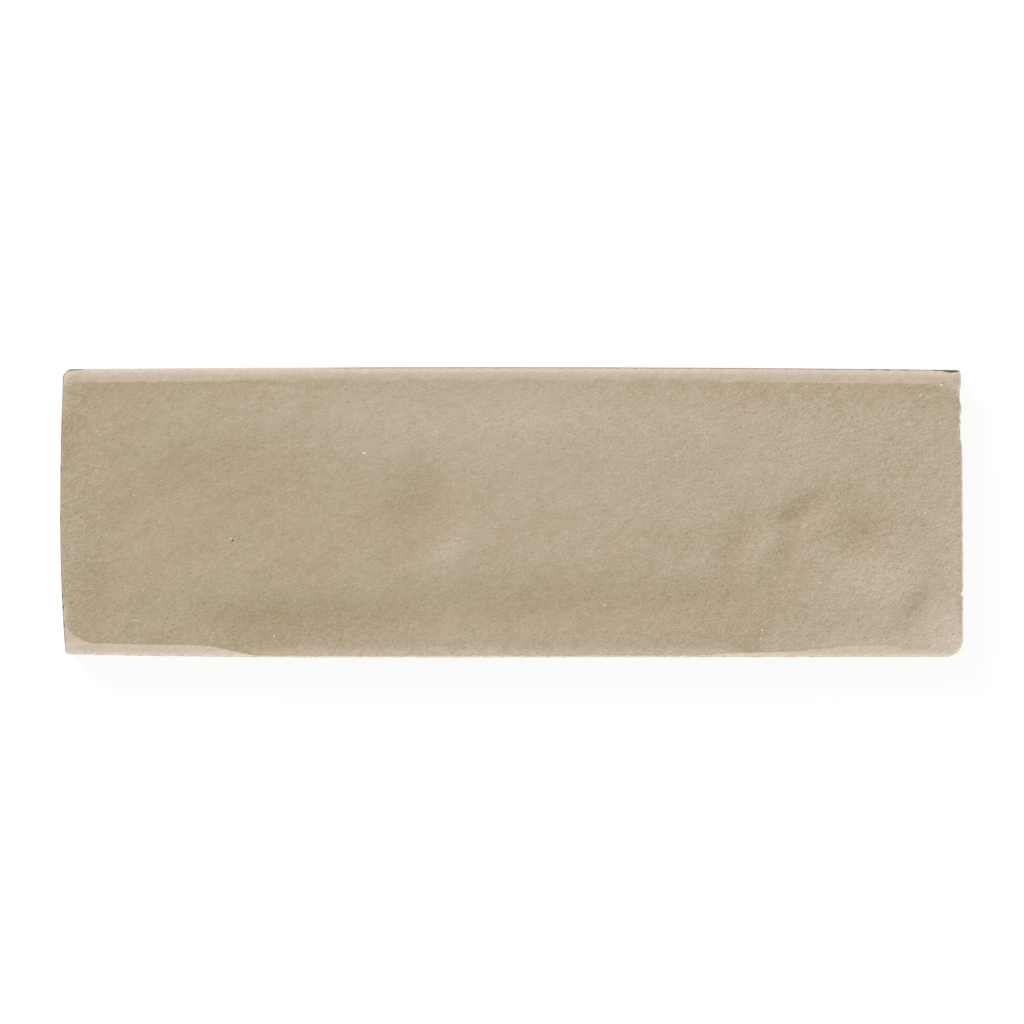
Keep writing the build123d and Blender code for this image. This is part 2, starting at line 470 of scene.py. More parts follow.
all_edges = ring + [edge for middle, edges in mouths for edge in edges]
bmesh.ops.triangle_fill(tile_bm, edges=all_edges, use_beauty=True)

for middle, edges in mouths:
    for depth_share, inset_share in pocket_steps:
        scale_x = 1 - 2 * pocket_inset * inset_share / pocket_length
        scale_y = 1 - 2 * pocket_inset * inset_share / pocket_width
        edges = next_ring(edges, lambda vert: (
            middle.x + (vert.co.x - middle.x) * scale_x,
            middle.y + (vert.co.y - middle.y) * scale_y,
            pocket_depth * depth_share,
        ))
    bmesh.ops.edgeloop_fill(tile_bm, edges=edges)

bmesh.ops.recalc_face_normals(tile_bm, faces=tile_bm.faces)
open_edges = [edge for edge in tile_bm.edges if not edge.is_manifold]
print("with its back:", len(tile_bm.faces), "faces, open edges:", len(open_edges))

# %% [markdown]
# ## Where the glaze ran thin, and painted light
#
# Melted glaze runs off an edge, so most of the rolled border is paler than the face. Along the back
# and along parts of the front the pale band ends at a crisp line, and its width there is given at
# a few places along the side. Elsewhere it only fades out towards the face, which a few soft
# fades along the sides and a few pale or dark clouds describe. The fades along the front and the
# right and the cloud at the front right corner are partly painted light, which makes up for the
# shade that the rolled edges and the sagging corner get.

# %% Where the glaze ran thin, and painted light
Limit = namedtuple("Limit", "place width softness")
back_band = [
    Limit(-100.0, 2.9, 2.4), Limit(-93.0, 2.85, 0.5), Limit(-65.0, 2.95, 0.4), Limit(-60.0, 2.5, 1.0),
    Limit(-54.0, 2.3, 1.4), Limit(-46.0, 2.6, 1.3), Limit(41.0, 2.6, 1.3), Limit(47.0, 3.0, 0.6),
    Limit(79.0, 3.1, 0.4), Limit(92.0, 3.1, 0.5), Limit(95.5, 3.2, 2.4), Limit(100.0, 3.2, 3.2),
]
front_band = [
    Limit(-100.0, 7.6, 0.8), Limit(-98.9, 6.3, 0.6), Limit(-98.0, 5.4, 0.4), Limit(-96.9, 4.4, 0.4),
    Limit(-95.5, 3.45, 0.4), Limit(-93.8, 2.85, 0.4), Limit(-91.8, 2.55, 0.4), Limit(-69.0, 2.6, 0.4),
    Limit(-66.5, 2.4, 0.4), Limit(-56.6, 0.3, 0.4), Limit(-54.0, -0.5, 0.4), Limit(38.0, -0.5, 0.5),
    Limit(42.0, 0.4, 0.6), Limit(53.0, 1.05, 0.5), Limit(64.0, 1.4, 0.4), Limit(74.8, 2.45, 0.4),
    Limit(83.0, 2.6, 0.4), Limit(86.4, 1.95, 0.5), Limit(92.3, 1.75, 0.8), Limit(100.0, 2.8, 2.4),
]

# A fade follows one side between two places, and reaches so far into the face
Fade = namedtuple("Fade", "side start end reach strength")
fades = [
    Fade("left", 20.0, 36.0, 4.0, 0.32),
    Fade("left", -30.0, -18.0, 0.8, 0.40),
    # along the front and the right, partly painted light against the shade of the rolled edge
    Fade("front", -60.0, 52.0, 1.35, 0.55),
    Fade("front", 54.0, 104.0, 4.4, 0.42),
    Fade("right", 24.4, 38.0, 2.0, 0.60),
    Fade("right", -36.0, 26.0, 3.6, 0.16),
]
fade_end = 4.0  # length over which a fade comes up and dies away

# Soft clouds, paler where their rise is above 0 and darker below it
clouds_of_glaze_and_light = [
    # the front right corner and the pale ground up to it, partly painted light against its shade
    Press(x=100.0, y=-29.0, reach=6.0, breadth=6.5, turn=0.0, rise=0.46),
    Press(x=93.0, y=-24.5, reach=13.0, breadth=5.0, turn=0.0, rise=0.14),
    # paler places
    Press(x=-99.0, y=-8.0, reach=3.0, breadth=9.0, turn=0.0, rise=0.10),
    Press(x=-82.0, y=-25.0, reach=9.0, breadth=3.0, turn=0.0, rise=0.12),
    Press(x=84.0, y=20.5, reach=10.0, breadth=4.0, turn=0.0, rise=0.10),
    Press(x=88.0, y=-19.5, reach=5.0, breadth=4.0, turn=0.0, rise=0.11),
    Press(x=41.5, y=-12.5, reach=7.0, breadth=3.0, turn=0.0, rise=0.11),
    Press(x=97.5, y=-7.5, reach=3.0, breadth=6.0, turn=0.0, rise=0.08),
    Press(x=-13.5, y=-27.5, reach=7.0, breadth=2.5, turn=0.0, rise=0.08),
    Press(x=-98.0, y=-14.0, reach=2.5, breadth=6.0, turn=0.0, rise=0.07),
    # darker places
    Press(x=-22.0, y=-6.0, reach=42.0, breadth=8.0, turn=0.0, rise=-0.07),
    Press(x=-48.0, y=10.0, reach=9.0, breadth=3.0, turn=0.0, rise=-0.07),
    Press(x=-46.0, y=-13.0, reach=9.0, breadth=2.5, turn=0.0, rise=-0.07),
    Press(x=-89.0, y=-19.5, reach=5.0, breadth=3.5, turn=0.0, rise=-0.09),
    Press(x=-53.0, y=-30.0, reach=7.0, breadth=2.0, turn=0.0, rise=-0.14),
    Press(x=-15.0, y=24.0, reach=9.0, breadth=3.5, turn=0.0, rise=-0.07),
    Press(x=15.5, y=-21.5, reach=6.0, breadth=2.5, turn=0.0, rise=-0.08),
    Press(x=53.0, y=26.0, reach=5.0, breadth=3.0, turn=0.0, rise=-0.08),
    Press(x=60.0, y=-29.0, reach=7.0, breadth=2.0, turn=0.0, rise=-0.12),
    Press(x=70.5, y=-2.0, reach=5.0, breadth=3.0, turn=0.0, rise=-0.06),
    Press(x=88.0, y=-25.5, reach=3.5, breadth=2.0, turn=0.0, rise=-0.09),
    Press(x=-27.0, y=-13.5, reach=4.0, breadth=2.5, turn=0.0, rise=-0.08),
    Press(x=35.0, y=-6.0, reach=4.0, breadth=2.5, turn=0.0, rise=-0.08),
    Press(x=-98.0, y=17.0, reach=2.5, breadth=8.0, turn=0.0, rise=-0.07),
]


def distances_to_rim(x, y):
    """Distance of a point from each side by name, less what the nicks and round corners take off."""
    distances = dict(zip(("left", "right", "front", "back"), side_distances(x, y)))
    distances["right"] -= bitten(y, 0)
    for (sign_x, sign_y), radius in corner_radii.items():
        first, second = ("right" if sign_x > 0 else "left"), ("back" if sign_y > 0 else "front")
        over_x, over_y = radius - distances[first], radius - distances[second]
        if over_x > 0 and over_y > 0:
            cut = hypot(over_x, over_y) - max(over_x, over_y)
            distances[first] -= cut
            distances[second] -= cut
    return distances


def band_depth(limits, place, distance):
    """How far inside a band a point is: 0 at the middle of its limit, in parts of its softness."""
    for first, second in zip(limits, limits[1:]):
        if place <= second.place:
            break
    share = min(max((place - first.place) / (second.place - first.place), 0), 1)
    width = first.width + (second.width - first.width) * share
    softness = first.softness + (second.softness - first.softness) * share
    return (width - distance) / softness


def fading(fade, x, y, distances):
    """What one fade adds at a point."""
    along = x if fade.side in ("front", "back") else y
    ends = ramp(along, fade.start, fade.start + fade_end) * (1 - ramp(along, fade.end - fade_end, fade.end))
    return fade.strength * ends * exp(-((distances[fade.side] / fade.reach) ** 2) / 2)


print("places along the bands:", len(back_band), "and", len(front_band))

# %% [markdown]
# ## Painted shade along the lip
#
# Along the back and left the lip carries a thin, broken dark line of painted shade, thickest at
# the back right corner. Each piece of it is a place along a side, half its length and how far it
# reaches in from the rim.

# %% Painted shade along the lip
ShadePiece = namedtuple("ShadePiece", "side place half_length width")
shade_pieces = [
    ShadePiece("back", -97.2, 2.6, 0.32), ShadePiece("back", 79.8, 1.2, 0.24), ShadePiece("back", 83.0, 1.4, 0.22),
    ShadePiece("back", 87.0, 1.8, 0.22), ShadePiece("back", 94.4, 1.8, 0.30), ShadePiece("back", 97.2, 2.3, 0.66),
    ShadePiece("left", 29.6, 2.4, 0.20), ShadePiece("left", 19.6, 2.4, 0.26), ShadePiece("left", 15.8, 1.0, 0.24),
    ShadePiece("left", 9.7, 1.2, 0.30), ShadePiece("left", -1.4, 1.5, 0.26), ShadePiece("left", -14.0, 0.8, 0.28),
    ShadePiece("left", -18.5, 0.8, 0.34), ShadePiece("left", -21.0, 0.9, 0.38), ShadePiece("left", -24.8, 0.9, 0.32),
    ShadePiece("left", -28.0, 1.8, 0.30), ShadePiece("left", -26.2, 5.4, 0.18),
]


def in_shade_piece(shade_piece, x, y, distances):
    """How far inside one piece of painted shade a point is, in millimetres; below 0 outside it."""
    along = x if shade_piece.side == "back" else y
    shape = 1 - ((along - shade_piece.place) / shade_piece.half_length) ** 2
    return shade_piece.width * max(shape, -1) - distances[shade_piece.side]


print("dark marks along the lip:", len(shade_pieces))

# %% [markdown]
# ## Marks that the glaze needs to know
#
# A material can't measure how near the rim a point is, so each vertex keeps it. The limits of the
# bands and of the dark marks are kept as distances, which stay smooth between vertices, and the
# material turns them into crisp edges. The grain is coarser to the right, at both ends and along
# the front, and the vertices keep that too.

# %% Marks that the glaze needs to know
coarser_places = [
    Press(x=-98.0, y=4.0, reach=5.0, breadth=34.0, turn=0.0, rise=0.42),
    Press(x=-50.0, y=-29.0, reach=46.0, breadth=5.0, turn=0.0, rise=0.26),
    Press(x=82.0, y=-4.0, reach=12.0, breadth=8.0, turn=0.0, rise=0.16),
]
left_grain, right_grain = 0.78, 0.28  # strength of the grain, and what the right half adds
right_start, right_end = 0, 60
calm_of_bands = 0.30
pale_per_rise = 0.55
far_outside = -4
rim_place = 0.9999  # the places u and v of the face end here, and the rings of the side begin
foot_level = 1

mark_names = (
    "pool_and_light", "back_band", "front_band", "pale_lip", "dark_lip", "shade_piece", "below_lip", "coarseness")
marks = {name: tile_bm.verts.layers.float.new(name) for name in mark_names}
for vert in tile_bm.verts:
    x, y, level = vert.co
    distances = distances_to_rim(x, y)
    thinning_and_light = sum(pressed(cloud, x, y) for cloud in clouds_of_glaze_and_light)
    thinning_and_light += sum(fading(fade, x, y, distances) for fade in fades)
    on_side = max(abs(vert[layer_u]), abs(vert[layer_v])) > rim_place or level < foot_level
    rise = face_height(x, y) + edge_fall(x, y) - thickness
    vert[marks["pool_and_light"]] = pale_per_rise * rise + thinning_and_light
    vert[marks["back_band"]] = max(band_depth(back_band, x, distances["back"]), far_outside)
    vert[marks["front_band"]] = max(band_depth(front_band, x, distances["front"]), far_outside)
    vert[marks["pale_lip"]] = min(distances["front"], distances["right"])
    vert[marks["dark_lip"]] = min(distances["back"], distances["left"])
    vert[marks["shade_piece"]] = max(in_shade_piece(shade_piece, x, y, distances) for shade_piece in shade_pieces)
    vert[marks["below_lip"]] = max(0, face_height(x, y) - level) if on_side else 0
    coarser = sum(pressed(place, x, y) for place in coarser_places)
    plain = left_grain + right_grain * ramp(x, right_start, right_end) + coarser
    in_band = max(vert[marks["back_band"]], vert[marks["front_band"]])
    vert[marks["coarseness"]] = plain * (1 - calm_of_bands * ramp(in_band, -0.5, 0.5))
print("marks kept on each vertex:", ", ".join(mark_names))

# %% [markdown]
# ## The finished piece
#
# The mesh is scaled to metres, smoothed in shading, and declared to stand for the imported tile.
# Rays down from above compare the two faces at a few hundred places.

# %% The finished piece
bmesh.ops.scale(tile_bm, vec=(0.001, 0.001, 0.001), verts=tile_bm.verts)
tile_mesh = bpy.data.meshes.new("glazed_tile")
tile_bm.to_mesh(tile_mesh)
tile_mesh.shade_smooth()
glazed_tile = bpy.data.objects.new("glazed_tile", tile_mesh)
bpy.context.collection.objects.link(glazed_tile)
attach(glazed_tile, "root")
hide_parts("tile")
print("triangles:", sum(len(p.vertices) - 2 for p in tile_mesh.polygons))

packed_bm = bmesh.new()
packed_bm.from_mesh(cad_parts["tile"].data)
packed_tree, glazed_tree = BVHTree.FromBMesh(packed_bm), BVHTree.FromBMesh(tile_bm)
ray_height = 0.02
checked_x, checked_y = range(-95, 96, 5), range(-27, 28, 6)
gaps = []
for x in checked_x:
    for y in checked_y:
        ray = (Vector((x / 1000, y / 1000, ray_height)), Vector((0, 0, -1)))
        gaps.append((packed_tree.ray_cast(*ray)[0].z - glazed_tree.ray_cast(*ray)[0].z) * 1000)
print("below the packed face, mm:", f"mean {sum(gaps) / len(gaps):.3f},",
      f"from {min(gaps):.3f} to {max(gaps):.3f}")
packed_bm.free()
tile_bm.free()

# %% [markdown]
# ## Helpers for the glaze
#
# The glaze is one material built of nodes, and a few small functions keep it readable. Each adds a
# node and gives back its output, so that a formula can be written from the inside out. Patterns
# read Object coordinates, so that they keep their real size.

# %% Helpers for the glaze
glaze = bpy.data.materials.new("satin_glaze")
glaze.use_nodes = True
nodes, links = glaze.node_tree.nodes, glaze.node_tree.links
shader = nodes["Principled BSDF"]
shader.inputs["Roughness"].default_value = 0.52
shader.inputs["Specular IOR Level"].default_value = 0.36
place = nodes.new("ShaderNodeTexCoord")


def linear(level):
    """The linear value that a shader takes for one channel of a picture's colour."""
    return level / 255 / 12.92 if level < 10 else ((level / 255 + 0.055) / 1.055) ** 2.4


def colour(red, green, blue):
    """A colour as a picture gives it, with each channel from 0 to 255."""
    return linear(red), linear(green), linear(blue), 1


def attribute(name):
    """A node's output that gives a mark of the mesh."""
    node = nodes.new("ShaderNodeAttribute")
    node.attribute_name = name
    return node.outputs["Fac"]


def drawn_out(turn, stretch):
    """Coordinates that draw a pattern out along a line turned by so much."""
    turned = nodes.new("ShaderNodeMapping")
    turned.inputs["Rotation"].default_value = (0, 0, -turn)
    links.new(place.outputs["Object"], turned.inputs["Vector"])
    stretched = nodes.new("ShaderNodeMapping")
    stretched.inputs["Scale"].default_value = (1 / stretch, 1, 1)
    links.new(turned.outputs["Vector"], stretched.inputs["Vector"])
    return stretched.outputs["Vector"]


def noise_value(size, detail=2, roughness=0.5, turn=0, stretch=1):
    """Smooth noise with lumps of a size in metres, if need be turned and drawn out."""
    node = nodes.new("ShaderNodeTexNoise")
    node.inputs["Scale"].default_value = 1 / size
    node.inputs["Detail"].default_value = detail
    node.inputs["Roughness"].default_value = roughness
    links.new(drawn_out(turn, stretch), node.inputs["Vector"])
    return node.outputs["Fac"]


def feed(socket, value):
    """Give a socket another node's output, or a plain number or colour."""
    if isinstance(value, bpy.types.NodeSocket):
        links.new(value, socket)
    else:
        socket.default_value = value


def worked_out(operation, first, second, third=0.5):
    """A number worked out from others, each an output or a plain value."""
    node = nodes.new("ShaderNodeMath")
    node.operation = operation
    for socket, value in zip(node.inputs, (first, second, third)):
        feed(socket, value)
    return node.outputs[0]


def ranged(value, start, end):
    """A value spread from 0 at start to 1 at end, and held there."""
    node = nodes.new("ShaderNodeMapRange")
    node.interpolation_type = "SMOOTHSTEP"
    node.inputs["From Min"].default_value = start
    node.inputs["From Max"].default_value = end
    links.new(value, node.inputs["Value"])
    return node.outputs["Result"]


def mixed(share, first, second, blend_type="MIX"):
    """A colour between two others, or the first one multiplied by the second."""
    node = nodes.new("ShaderNodeMix")
    node.data_type = "RGBA"
    node.blend_type = blend_type
    feed(node.inputs["Factor"], share)
    feed(node.inputs["A"], first)
    feed(node.inputs["B"], second)
    return node.outputs["Result"]


def around_half(value, strength):
    """A noise value, centred on 0 and with this strength."""
    return worked_out("MULTIPLY", worked_out("SUBTRACT", value, 0.5), strength)


# %% [markdown]
# ## Ground colour
#
# A satin, half opaque glaze over pale clay: olive beige where it lies thick, pinkish where it is
# thinner, and nearly cream where the clay shows through. How thin it is starts from the mark kept
# on the vertices, which also carries some painted light along the front and right, and noise of
# four sizes, from wide drifts down to single grains, is added to it.

# %% Ground colour
thick_colour = colour(162.3, 145, 113.3)
thin_colour = colour(202.3, 185.4, 166.3)
clay_through_colour = colour(246, 232, 216)
coarseness = attribute("coarseness")
wide_drifts = noise_value(0.009, detail=2, turn=stroke_turn, stretch=1.5)
strokes = noise_value(0.0023, detail=0, turn=stroke_turn, stretch=1.8)
grain_value = noise_value(0.0013, detail=2, roughness=1.0, turn=stroke_turn, stretch=1.15)
single_grains = noise_value(0.0004, detail=0)
grain = worked_out("ADD", around_half(grain_value, 0.90), around_half(single_grains, 0.46))
thinness_and_light = worked_out("ADD", attribute("pool_and_light"), 0.5)
for part in (
    around_half(wide_drifts, 0.20),
    around_half(strokes, 0.15),
    worked_out("MULTIPLY", grain, coarseness),
):
    thinness_and_light = worked_out("ADD", thinness_and_light, part)
face_colour = mixed(thinness_and_light, thick_colour, thin_colour)
face_colour = mixed(worked_out("SUBTRACT", thinness_and_light, 1.0), face_colour, clay_through_colour)
print("nodes of the ground colour:", len(nodes))

# %% [markdown]
# ## Scattered specks and strokes
#
# Gas that escapes from the melting glaze leaves pinholes, grains of the clay leave pale dots, and
# the hand that smoothed the clay drew small dark dashes. They are scattered by chance, one in
# several cells of a cellular texture. The bands are painted over them later, since they are clean.

# %% Scattered specks and strokes
least_dot, dot_spread, dot_rim = 0.6, 0.8, 0.6  # shares of the radius that is asked for
dots_end = 0.2  # so many millimetres below the lip


def dots(cell, radius, share, turn=0, stretch=1):
    """Small dots, or dashes if drawn out, one in a share of the cells of this size in metres."""
    cells = nodes.new("ShaderNodeTexVoronoi")
    cells.voronoi_dimensions = "2D"
    cells.inputs["Scale"].default_value = 1 / cell
    links.new(drawn_out(turn, stretch), cells.inputs["Vector"])
    chance = nodes.new("ShaderNodeSeparateColor")
    links.new(cells.outputs["Color"], chance.inputs[0])
    chosen = worked_out("LESS_THAN", chance.outputs["Red"], share)
    radius_in_cell = radius / cell
    size = worked_out(
        "MULTIPLY_ADD", chance.outputs["Green"], radius_in_cell * dot_spread, radius_in_cell * least_dot)
    near = worked_out("SUBTRACT", size, cells.outputs["Distance"])
    on_face = ranged(attribute("below_lip"), dots_end, 0.0)
    dot = worked_out("MULTIPLY", ranged(near, 0, radius_in_cell * dot_rim), chosen)
    return worked_out("MULTIPLY", dot, on_face)


pale_dots = worked_out("MULTIPLY", dots(0.0019, 0.00016, 0.09), 0.50)
dark_dots = worked_out("MULTIPLY", dots(0.0021, 0.00018, 0.16), 0.42)
dashes = dots(0.0014, 0.00016, 0.28, turn=stroke_turn, stretch=2.2)
dashes = worked_out("MULTIPLY", dashes, worked_out("MULTIPLY", coarseness, 0.42))
face_colour = mixed(pale_dots, face_colour, colour(222, 209, 192))
face_colour = mixed(dark_dots, face_colour, colour(134, 117, 88))
face_colour = mixed(dashes, face_colour, colour(126, 109, 80))
print("nodes with the specks:", len(nodes))

# %% [markdown]
# ## Bands
#
# The back band is a quiet pinkish beige and lightest at the rim. The front band is paler, nearly
# cream at the rim, and darkens in two steps; part of its paleness is painted light, which makes up
# for the shade of the front roll. Both carry the grain of the face, but more softly.

# %% Bands
back_rim, back_inner = colour(205, 190, 171), colour(192, 176.5, 154.5)
# the front band is partly painted light, against the shade of its roll
front_rim, front_middle = colour(231, 216, 198), colour(209, 194, 173)
front_inner = colour(196, 180, 157)
grain_dark, grain_light = (0.84, 0.84, 0.79, 1), (1.16, 1.16, 1.21, 1)


def grained(tone):
    """A colour that the grain makes darker and yellower, or lighter and pinker."""
    return mixed(1.0, tone, mixed(grain_value, grain_dark, grain_light), "MULTIPLY")


band_wobble = around_half(noise_value(0.004, detail=1), 1.2)
drift = around_half(noise_value(0.006, detail=2), 0.6)
from_back = worked_out("ADD", attribute("dark_lip"), drift)
from_front = worked_out("ADD", attribute("pale_lip"), drift)
back_colour = mixed(ranged(from_back, 0.5, 1.8), back_rim, back_inner)
front_colour = mixed(ranged(from_front, 0.2, 1.6), front_rim, front_middle)
front_colour = mixed(ranged(from_front, 2.0, 4.6), front_colour, front_inner)
for name, band_colour in (("back_band", back_colour), ("front_band", front_colour)):
    inside = ranged(worked_out("ADD", attribute(name), band_wobble), -0.5, 0.5)
    face_colour = mixed(inside, face_colour, grained(band_colour))
print("nodes with the bands:", len(nodes))

# %% [markdown]
# ## Lips, painted highlight and painted shade
#
# The front and right lips are cream, worn through in orange spots, and turn beige towards the back.
# Part of their cream is a painted highlight, which keeps them bright in their own shade. The back
# and left lips are darker with painted shade, but for one stretch near the left end, and carry a
# darker line of painted shade. Each lip is a distance from the rim that a little noise makes uneven.

# %% Lips, painted highlight and painted shade
# the pale front and right lips, whose cream is partly a painted highlight
cream, worn_orange, back_beige = colour(253, 242, 228), colour(246, 214, 186), colour(224, 209, 191)
# painted shade on the back and left lips, beige where it stops, and the darkest colour for its line
olive, unshaded_beige, darkest_shade = colour(150, 133, 106), colour(204, 190, 170), colour(93, 75, 46)
beige_start, beige_end = -0.004, 0.014
unshaded_middle, unshaded_inner, unshaded_outer = -0.068, 0.022, 0.034


def near_rim(name, size, start, end):
    """A kept distance spread from 0 at start to 1 at end, made uneven by noise of this size."""
    return ranged(worked_out("ADD", attribute(name), around_half(noise_value(size), 0.3)), start, end)


axes = nodes.new("ShaderNodeSeparateXYZ")
links.new(place.outputs["Object"], axes.inputs[0])
# Front and right: a cream lip with orange spots, partly a painted highlight that stays bright though the
# lip lies in shade
worn = ranged(noise_value(0.0013, detail=2), 0.52, 0.66)
towards_back = ranged(axes.outputs["Y"], beige_start, beige_end)
pale_colour = mixed(towards_back, mixed(worn, cream, worn_orange), back_beige)
face_colour = mixed(near_rim("pale_lip", 0.0016, 0.46, 0.16), face_colour, pale_colour)
# Back and left: painted shade on the lip, but beige along one stretch near the left end
from_unshaded = worked_out("ABSOLUTE", worked_out("SUBTRACT", axes.outputs["X"], unshaded_middle), 0)
lip_shade_colour = mixed(ranged(from_unshaded, unshaded_outer, unshaded_inner), olive, unshaded_beige)
face_colour = mixed(near_rim("dark_lip", 0.002, 0.30, 0.14), face_colour, lip_shade_colour)
# the darker line of painted shade, thickest at the back right corner
face_colour = mixed(near_rim("shade_piece", 0.0008, -0.08, 0.16), face_colour, darkest_shade)
print("nodes with the lips:", len(nodes))

# %% [markdown]
# ## Bare clay
#
# A millimetre below the lip the glaze has its plain colour again, so that the pale lip and the
# painted shade stay a thin line. Further down it runs out in a wavy line over the bare clay of the
# sides and of the back.

# %% Bare clay
side_glaze = colour(200, 184, 160)
dark_clay, light_clay = colour(188, 160, 130), colour(216, 192, 163)
longest_run = 4.0  # millimetres that the glaze runs down a side at most
below_lip = attribute("below_lip")
face_colour = mixed(ranged(below_lip, 0.4, 1.0), face_colour, grained(side_glaze))
glaze_run = worked_out("MULTIPLY", noise_value(0.003, detail=3), longest_run)
bare = ranged(worked_out("SUBTRACT", below_lip, glaze_run), -0.5, 0.2)
clay_colour = mixed(noise_value(0.0009, detail=3, roughness=0.7), dark_clay, light_clay)
face_colour = mixed(bare, face_colour, clay_colour)
print("nodes with the clay:", len(nodes))

# %% [markdown]
# ## Pinholes and scratches
#
# The few marks that catch the eye on this tile, a deep pinhole, some scratches and bright dots, are
# placed one by one, each an oval with a soft rim. The pinhole is only painted: its dark is painted
# shade in the hole, and the first pale spot, at its upper left, is a painted highlight on its wall.

# %% Pinholes and scratches
Spot = namedtuple("Spot", "x y reach breadth turn strength")
spot_core, spot_rim = 0.55, 1.25
pale_spots = [
    # the first spot is the painted highlight on the wall of the pinhole
    Spot(-62.15, -5.85, 0.30, 0.16, 45, 0.7), Spot(-32.7, 13.1, 0.32, 0.26, 0, 0.8),
    Spot(55.4, -26.1, 0.20, 0.20, 0, 0.9), Spot(55.2, -28.0, 0.20, 0.16, 0, 0.8),
    Spot(20.6, -20.5, 0.22, 0.22, 0, 0.5), Spot(95.1, 28.2, 0.28, 0.24, 0, 0.7),
    Spot(-83.4, -23.9, 1.20, 0.14, -3, 0.45), Spot(-83.0, -25.3, 0.16, 0.80, 8, 0.15),
    Spot(90.4, 25.9, 0.45, 0.18, 35, 0.5), Spot(92.2, 25.5, 0.80, 0.12, -25, 0.28),
    Spot(89.0, 23.6, 0.20, 0.18, 0, 0.4), Spot(98.0, 30.7, 0.16, 0.16, 0, 0.5),
    Spot(94.8, 19.7, 0.42, 0.14, 40, 0.5), Spot(95.8, 20.1, 0.20, 0.16, 0, 0.4),
    Spot(95.9, 18.8, 0.50, 0.12, 5, 0.35), Spot(91.0, 19.8, 0.70, 0.12, 12, 0.28),
    Spot(94.1, 12.6, 0.20, 0.18, 0, 0.5), Spot(63.8, 15.9, 0.34, 0.16, 30, 0.45),
    Spot(84.0, 31.0, 0.22, 0.18, 0, 0.5), Spot(68.2, -15.7, 0.20, 0.20, 0, 0.6),
    Spot(83.6, -17.5, 0.60, 0.12, 0, 0.40), Spot(83.6, -19.4, 0.20, 0.20, 0, 0.5),
    Spot(79.3, -10.3, 0.45, 0.16, -10, 0.35), Spot(82.5, -7.2, 0.16, 0.16, 0, 0.5),
    Spot(-52.6, -27.4, 0.18, 0.22, 0, 0.6), Spot(-47.9, -19.6, 0.18, 0.18, 0, 0.45),
    Spot(-93.6, -10.5, 0.22, 0.20, 0, 0.45), Spot(-91.6, 10.2, 0.55, 0.18, 0, 0.28),
    Spot(-84.6, 9.4, 0.16, 0.18, 0, 0.4), Spot(-94.3, 3.0, 0.16, 0.45, 10, 0.28),
]
# The pinhole is painted shade in a hole that the mesh doesn't have
pinhole = Spot(-61.8, -6.25, 0.27, 0.20, 45, 1.0)
dark_spots = [
    Spot(95.6, 28.7, 0.40, 0.18, 45, 0.5),
    Spot(-8.8, 8.9, 0.24, 0.22, 0, 0.5), Spot(11.4, 14.0, 0.26, 0.24, 0, 0.5),
    Spot(74.4, 5.3, 0.26, 0.22, 0, 0.5), Spot(59.0, 14.0, 0.22, 0.22, 0, 0.5),
]


def spotted(spots):
    """Strength of the strongest of the spots at a place, each with a soft rim."""
    most = 0.0
    for spot in spots:
        local = nodes.new("ShaderNodeMapping")
        local.vector_type = "TEXTURE"
        local.inputs["Location"].default_value = (spot.x / 1000, spot.y / 1000, 0)
        local.inputs["Rotation"].default_value = (0, 0, radians(spot.turn))
        local.inputs["Scale"].default_value = (spot.reach / 1000, spot.breadth / 1000, 1)
        links.new(place.outputs["Object"], local.inputs["Vector"])
        radius = nodes.new("ShaderNodeVectorMath")
        radius.operation = "LENGTH"
        links.new(local.outputs["Vector"], radius.inputs[0])
        inside = ranged(radius.outputs["Value"], spot_rim, spot_core)
        most = worked_out("MAXIMUM", worked_out("MULTIPLY", inside, spot.strength), most)
    return most


face_colour = mixed(spotted(pale_spots), face_colour, colour(240, 229, 213))
face_colour = mixed(spotted(dark_spots), face_colour, colour(118, 101, 74))
# painted shade of the pinhole
face_colour = mixed(spotted([pinhole]), face_colour, colour(40, 28, 16))
links.new(face_colour, shader.inputs["Base Color"])
print("spots placed one by one:", len(pale_spots) + len(dark_spots) + 1)

# %% [markdown]
# ## Grain of the surface
#
# The satin skin of the glaze is rough like fine orange peel. These grains are smaller than the
# mesh can carry, so they only turn the light, as a bump.

# %% Grain of the surface
grain_depth = 0.000115
coarse_share = 0.8
fine_grain = noise_value(0.0005, detail=2, turn=stroke_turn, stretch=1.05)
coarse_grain = noise_value(0.0011, detail=2, turn=stroke_turn, stretch=1.3)
both_grains = worked_out("ADD", fine_grain, worked_out("MULTIPLY", coarse_grain, coarse_share))
bump = nodes.new("ShaderNodeBump")
bump.inputs["Strength"].default_value = 1.0
bump.inputs["Distance"].default_value = grain_depth
links.new(worked_out("MULTIPLY", both_grains, coarseness), bump.inputs["Height"])
links.new(bump.outputs["Normal"], shader.inputs["Normal"])
tile_mesh.materials.append(glaze)
print("nodes of the glaze:", len(nodes))

# %% [markdown]
# ## Floor
#
# The photograph shows the tile on pure white. The floor is a plane with a dark body that glows white
# only where the camera, a gloss or a glass sees it. So it keeps a faint shadow of the tile, and
# throws no light of its own on it.

# %% Floor
floor_half = 1.5
floor_body, floor_glow = (0.1, 0.1, 0.1, 1), 0.92
floor_bm = bmesh.new()
bmesh.ops.create_grid(floor_bm, x_segments=1, y_segments=1, size=floor_half)
floor_mesh = bpy.data.meshes.new("floor")
floor_bm.to_mesh(floor_mesh)
floor_bm.free()
floor = bpy.data.objects.new("floor", floor_mesh)
bpy.context.collection.objects.link(floor)

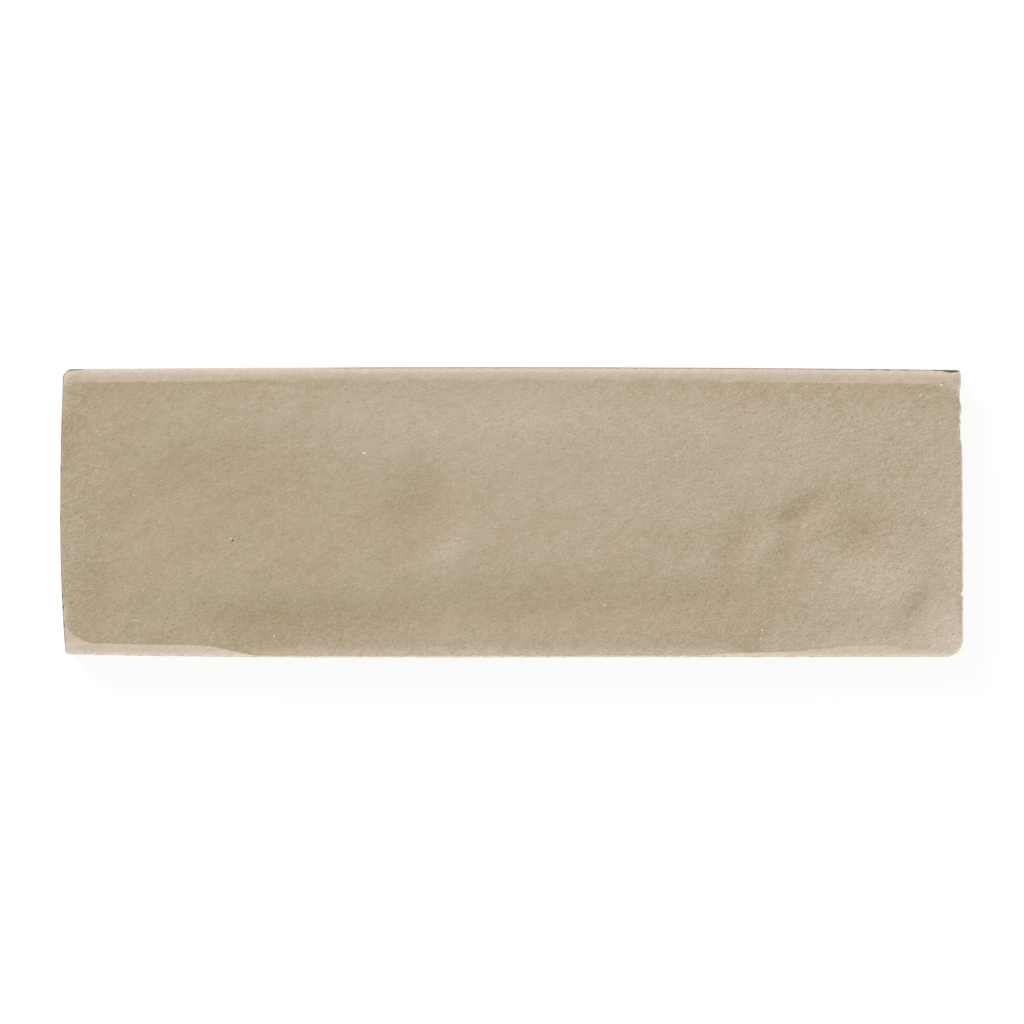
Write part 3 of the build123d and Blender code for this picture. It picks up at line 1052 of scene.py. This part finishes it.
white = bpy.data.materials.new("white_floor")
white.use_nodes = True
floor_nodes, floor_links = white.node_tree.nodes, white.node_tree.links
floor_shader = floor_nodes["Principled BSDF"]
floor_shader.inputs["Base Color"].default_value = floor_body
floor_shader.inputs["Roughness"].default_value = 1.0
floor_shader.inputs["Specular IOR Level"].default_value = 0.0
floor_shader.inputs["Emission Color"].default_value = (1, 1, 1, 1)


def seen_directly(tree):
    """A value of 1 where the camera sees this material straight, in a gloss or through glass."""
    light_path = tree.nodes.new("ShaderNodeLightPath")
    seen = light_path.outputs["Is Camera Ray"]
    for ray in ("Is Glossy Ray", "Is Transmission Ray"):
        either = tree.nodes.new("ShaderNodeMath")
        either.operation = "MAXIMUM"
        tree.links.new(seen, either.inputs[0])
        tree.links.new(light_path.outputs[ray], either.inputs[1])
        seen = either.outputs[0]
    return seen


glow = floor_nodes.new("ShaderNodeMath")
glow.operation = "MULTIPLY"
glow.inputs[1].default_value = floor_glow
floor_links.new(seen_directly(white.node_tree), glow.inputs[0])
floor_links.new(glow.outputs[0], floor_shader.inputs["Emission Strength"])
floor_mesh.materials.append(white)
print("floor, m across:", 2 * floor_half)

# %% [markdown]
# ## Light
#
# One broad, low light from the upper left draws the relief, and an even pale room fills the rest, so
# that together they light a level surface by exactly 1. The world stands for the room, and is white
# where the camera sees it.

# %% Light
key_share = 0.42
key_elevation = radians(30)
key_azimuth = radians(130)
key_breadth = radians(24)
key_blue = 1.14  # the key is a little cool, and the room warm by as much
sun = bpy.data.lights.new("low_key", "SUN")
sun.angle = key_breadth
sun.energy = key_share * pi / sin(key_elevation)
sun.color = (1.0, 1.0, key_blue)
key = bpy.data.objects.new("low_key", sun)
key_direction = Vector((
    cos(key_azimuth) * cos(key_elevation), sin(key_azimuth) * cos(key_elevation), sin(key_elevation)))
key.rotation_euler = key_direction.to_track_quat("Z", "Y").to_euler()
bpy.context.collection.objects.link(key)

world = bpy.data.worlds.new("pale_room")
bpy.context.scene.world = world
world.use_nodes = True
room_share = 1 - key_share
room_blue = (1 - key_share * key_blue) / room_share
backdrop = world.node_tree.nodes.new("ShaderNodeMix")
backdrop.data_type = "RGBA"
backdrop.inputs["A"].default_value = (room_share, room_share, room_share * room_blue, 1)
backdrop.inputs["B"].default_value = (1, 1, 1, 1)
background = world.node_tree.nodes["Background"]
world.node_tree.links.new(seen_directly(world.node_tree), backdrop.inputs["Factor"])
world.node_tree.links.new(backdrop.outputs["Result"], background.inputs["Color"])
print(f"light on a level surface: {key_share + room_share:.2f}")

# %% [markdown]
# ## Camera
#
# The photograph looks straight down from far off, since no side of the tile shows. The lens is long
# enough for the picture to be as wide as the real one at the level of the face.

# %% Camera
frame_width = 0.2266
camera_height = 1.4
camera_shift = 0.00006
sensor = 36
lens = bpy.data.cameras.new("camera")
lens.sensor_width = sensor
lens.lens = sensor * camera_height / frame_width
camera = bpy.data.objects.new("camera", lens)
camera.location = (camera_shift, camera_shift, camera_height + thickness / 1000)
bpy.context.collection.objects.link(camera)
bpy.context.scene.camera = camera
bpy.context.scene.view_settings.view_transform = "Standard"
print("lens, mm:", round(lens.lens))
